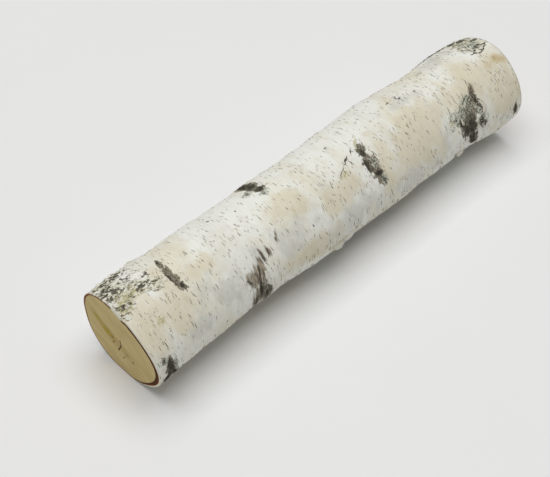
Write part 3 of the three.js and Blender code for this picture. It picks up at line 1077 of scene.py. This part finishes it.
def sheet_shape(nodes, corners):
    """A thin sheet that rises from its hinge to its free edge at 1 along X. Its inner side is marked."""
    size = (1, 1, SHEET_THICKNESS)
    inputs = {"Size": size, "Vertices X": corners, "Vertices Y": corners, "Vertices Z": 2}
    sheet = nodes.result("GeometryNodeMeshCube", inputs)
    place = nodes.place()
    sheet = nodes.keep(sheet, "inner", nodes.math("LESS_THAN", nodes.dot(place, (0, 0, 1)), 0.0))
    reach = nodes.plus(nodes.dot(place, (1, 0, 0)), 0.5)
    lost = nodes.times(reach, reach, reach, SHEET_NARROWING)
    narrowing = nodes.plus(nodes.math("SQRT", nodes.less(lost)), -1.0)
    sideways = nodes.times(nodes.dot(place, (0, 1, 0)), narrowing)
    return nodes.moved(sheet, Offset=nodes.xyz(0.5, sideways, nodes.math("POWER", reach, SHEET_CURL)))


def crumpled(nodes, geometry, size):
    """Makes a geometry's outline uneven."""
    noise = nodes.noise(nodes.place(), vector=True, **CRUMPLES)
    swing = nodes.vector("SUBTRACT", noise, (0.5, 0.5, 0.5))
    return nodes.moved(geometry, Offset=nodes.scaled(swing, size))


FLAKES = {
    "Density": 45000.0,
    "Smallest": 1.2 * MM,
    "Largest": 3.4 * MM,
    "Lift": 0.9 * MM,
    "Crumple": 1.6 * MM,
    "Seed": 8,
}
FLAKE_SEED = 51  # the first seed of the turns, sizes and tones
FLAKE_CORNERS = 4  # along each edge


def flakes_tree(material):
    """Small lifted flakes all over the corky bark."""
    nodes, given = geometry_tree("bark_flakes", FLAKES, FLAKE_SEED)
    density = nodes.times(given["Density"], nodes.rise(nodes.kept("cork"), 0.0, 0.4))
    points, normal = nodes.scatter(given["Geometry"], density, given["Seed"])
    rotation = nodes.any_way(normal)
    length, width = (nodes.random(given["Smallest"], given["Largest"]) for _ in range(2))
    scale = nodes.xyz(length, width, given["Lift"])
    sheet = sheet_shape(nodes, FLAKE_CORNERS)
    flakes = nodes.placed(points, sheet, rotation, scale, nodes.random())
    nodes.close(crumpled(nodes, flakes, given["Crumple"]), (material, True))
    return nodes


CURL_SIZES = {"Crumple": 2.4 * MM}
CURL_SEED = 61  # of the tones
CURL_CORNERS = 9  # along each edge
CURL_SINK = 0.1 * MM  # how far a curl's hinge lies in the bark


def curls_tree(material):
    """Larger loose flakes, one at each point of a mesh that keeps their sizes."""
    nodes, given = geometry_tree("bark_curls", CURL_SIZES, CURL_SEED)
    rotation = nodes.facing("Z", nodes.kept("normal", vector=True), "X", nodes.kept("free", vector=True))
    points = nodes.result("GeometryNodeMeshToPoints", {"Mesh": given["Geometry"]})
    sheet = sheet_shape(nodes, CURL_CORNERS)
    curls = nodes.placed(points, sheet, rotation, nodes.kept("size", vector=True), nodes.random())
    nodes.close(crumpled(nodes, curls, given["Crumple"]), (material, True))
    return nodes


def skin_surface():
    """The finished skin, for placing pieces on it."""
    points = [vertex.co.copy() for vertex in skin.data.vertices]
    return BVHTree.FromPolygons(points, [tuple(face.vertices) for face in skin.data.polygons])


SURFACE = skin_surface()


def bark_places(at, turn):
    """Points of the finished bark and their normals."""
    share, turn = np.array(at) * MM / log.length, np.radians(turn)
    reach, normals = log.on_surface(SURFACE, share, turn)
    share = log.off_cuts(share)
    return log.axis_point(share) + reach[:, None] * log.outward(share, turn), normals


def curl_mesh():
    """The curls' hinges as points of the bark, with each one's directions and sizes."""
    at, turn, point_to, length, width, lift = np.array(CURLS, dtype=float).T
    points, normals = bark_places(at, turn)
    along_log = np.array([1.0, 0.0, 0.0])
    round_log = np.cross(normals, along_log)
    round_log /= np.linalg.norm(round_log, axis=1)[:, None]
    towards = np.radians(point_to)[:, None]
    mesh = bpy.data.meshes.new("bark_curls")
    mesh.from_pydata((points - CURL_SINK * normals).tolist(), [], [])
    store(mesh, "normal", normals)
    store(mesh, "free", -np.cos(towards) * round_log + np.sin(towards) * along_log)
    store(mesh, "size", np.stack([length, width, lift], axis=1) * MM)
    return mesh


# Cracks in the bark

CRACK_SIZES = {"Corners": 6}
CRACK_SEED = 11
CRACK_STEP = 0.7  # mm between the points of a crack
CRACK_WAVER = 0.42  # mm along the log and degrees round it that a point strays
WAVER_BLEND = np.ones(5) / 2.2  # blends each point's waver with its neighbours'
CRACK_TIP = 0.06  # where on the taper's half wave a crack begins and ends
CRACK_FULLNESS = 0.6  # the taper's power: less than 1 keeps a crack thick for longer
CRACK_UNEVENNESS = (0.3, 1.1)  # least and most share of its thickness at a point
CRACK_SINK = 0.15 * MM  # how far a crack's middle lies in the bark
CRACK_TONES = dict(stretch=(200, 200, 200))


def crack_mesh():
    """The cracks as lines on the bark that waver, with the thickness at each point."""
    chance = np.random.default_rng(CRACK_SEED)
    mm_per_degree = log.radius / MM * math.pi / 180
    points, edges, thickness = [], [], []
    for half, places in CRACKS:
        at, turn = np.array(places, dtype=float).T
        steps = np.hypot(np.diff(at), np.diff(turn) * mm_per_degree)
        reach = np.concatenate([[0], np.cumsum(steps)])
        count = int(reach[-1] / CRACK_STEP) + 2
        along = np.linspace(0, reach[-1], count)
        strays = chance.normal(0, CRACK_WAVER, count + len(WAVER_BLEND) - 1)
        waver = np.convolve(strays, WAVER_BLEND, "valid")
        at, turn = np.interp(along, reach, at) + waver, np.interp(along, reach, turn) + waver[::-1]
        line, normals = bark_places(at, turn)
        taper = np.sin(math.pi * np.linspace(CRACK_TIP, 1 - CRACK_TIP, count)) ** CRACK_FULLNESS
        start = len(points)
        points += (line - CRACK_SINK * normals).tolist()
        edges += [(start + step, start + step + 1) for step in range(count - 1)]
        thickness += (half * MM * taper * chance.uniform(*CRACK_UNEVENNESS, count)).tolist()
    mesh = bpy.data.meshes.new("bark_cracks")
    mesh.from_pydata(points, edges, [])
    store(mesh, "thickness", thickness)
    return mesh


def cracks_tree(material):
    """Dark tubes along the cracks' lines, half sunk in the bark."""
    nodes, given = geometry_tree("bark_cracks", CRACK_SIZES)
    curve = nodes.result("GeometryNodeMeshToCurve", {"Mesh": given["Geometry"]})
    inputs = {"Resolution": given["Corners"], "Radius": 1.0}
    section = nodes.result("GeometryNodeCurvePrimitiveCircle", inputs)
    inputs = {"Curve": curve, "Profile Curve": section, "Scale": nodes.kept("thickness"), "Fill Caps": True}
    tube = nodes.result("GeometryNodeCurveToMesh", inputs)
    tube = nodes.keep(tube, "tone", nodes.noise(nodes.place(), **CRACK_TONES))
    nodes.close(tube, (material, True))
    return nodes


# The pieces on the bark

pore = grain_material("bark_pore", PORE_DARK, PORE_PALE, roughness=0.8)
run_tree("bark_pores", skin.data, pores_tree(pore), PORES)
for name, field, spread, dark, light in (
    ("scar_crust", "scar", CRUST, CRUST_BLACK, CRUST_GREY),
    ("scar_frost", "frost", FROST_GRAINS, FROST_GREY, FROST_PALE),
    ("lichen", "lichen", LICHEN_GRAINS, LICHEN_OLIVE, LICHEN_PALE),
):
    sizes = {**spread, **GRAIN_SIZES}
    grain = grain_material(name, dark, light, roughness=0.9)
    run_tree(name, skin.data, grains_tree(name, sizes, field, grain), sizes)
loose_bark = flake_material()
run_tree("bark_flakes", skin.data, flakes_tree(loose_bark), FLAKES)
run_tree("bark_curls", curl_mesh(), curls_tree(loose_bark), CURL_SIZES)
crack = grain_material("bark_crack", CRUST_BLACK, CRUST_BROWN, roughness=0.9)
run_tree("bark_cracks", crack_mesh(), cracks_tree(crack), CRACK_SIZES)


# Floor, camera and light, in metres, degrees and watts

FLOOR_SIZE = 30.0
FLOOR_DROP = 0.2 * MM  # keeps the floor clear of the flats that rest on it
FLOOR_MOTTLE = dict(stretch=(6, 6, 6), detail=4)


def make_floor():
    """A plain pale floor with a faint mottle."""
    material, nodes, shader = new_material("pale_floor")
    shader.inputs["Roughness"].default_value = 0.9
    mottle = nodes.noise(nodes.place(), **FLOOR_MOTTLE)
    nodes.feed(shader.inputs["Base Color"], nodes.colour(mottle, FLOOR_DULL, FLOOR_BRIGHT))
    half = FLOOR_SIZE / 2
    mesh = bpy.data.meshes.new("floor")
    corners = [(x * half, y * half, -FLOOR_DROP) for x, y in ((-1, -1), (1, -1), (1, 1), (-1, 1))]
    mesh.from_pydata(corners, [], [(0, 1, 2, 3)])
    mesh.materials.append(material)
    linked("floor", mesh)


CAMERA_AZIMUTH = -46.0
CAMERA_ELEVATION = 46.0
CAMERA_AIM = Vector((-0.0568, -0.0039, log.butt["pith"][2]))
CAMERA_DISTANCE = 1.16
FOCAL_PIXELS = 1400.0
PHOTO_WIDTH = 550.0  # pixels
SENSOR = 36.0  # mm


def make_camera():
    """The camera at the photo's viewing angle."""
    azimuth, elevation = math.radians(CAMERA_AZIMUTH), math.radians(CAMERA_ELEVATION)
    level = Vector((math.sin(azimuth), -math.cos(azimuth), 0))
    back = math.cos(elevation) * level + math.sin(elevation) * Vector((0, 0, 1))
    data = bpy.data.cameras.new("camera")
    data.sensor_width = SENSOR
    data.lens = FOCAL_PIXELS / PHOTO_WIDTH * SENSOR
    camera = linked("camera", data)
    camera.location = CAMERA_AIM + CAMERA_DISTANCE * back
    camera.rotation_mode = "QUATERNION"
    camera.rotation_quaternion = back.to_track_quat("Z", "Y")
    bpy.context.scene.camera = camera


KEY_PLACE = (-1.0, 1.0, 16.0)
KEY_SIZE = 16.0
KEY_POWER = 2370.0
SKY_STRENGTH = 0.31
HORIZON_SHARE = 0.2  # the sky's brightness at the horizon, as a share of that overhead


def make_light():
    """A large softbox overhead, and a soft sky that darkens towards the horizon."""
    data = bpy.data.lights.new("overhead_softbox", "AREA")
    data.energy = KEY_POWER
    data.size = KEY_SIZE
    linked("overhead_softbox", data).location = KEY_PLACE
    world = bpy.data.worlds.new("studio")
    world.use_nodes = True
    sky = Nodes(world.node_tree)
    upward = sky.dot(sky.add("ShaderNodeTexCoord").outputs["Generated"], (0, 0, 1))
    horizon = (HORIZON_SHARE, HORIZON_SHARE, HORIZON_SHARE, 1)
    background = world.node_tree.nodes["Background"]
    sky.feed(background.inputs["Color"], sky.colour(upward, horizon, (1, 1, 1, 1)))
    background.inputs["Strength"].default_value = SKY_STRENGTH
    bpy.context.scene.world = world
    bpy.context.scene.view_settings.view_transform = "Standard"


make_floor()
make_camera()
make_light()
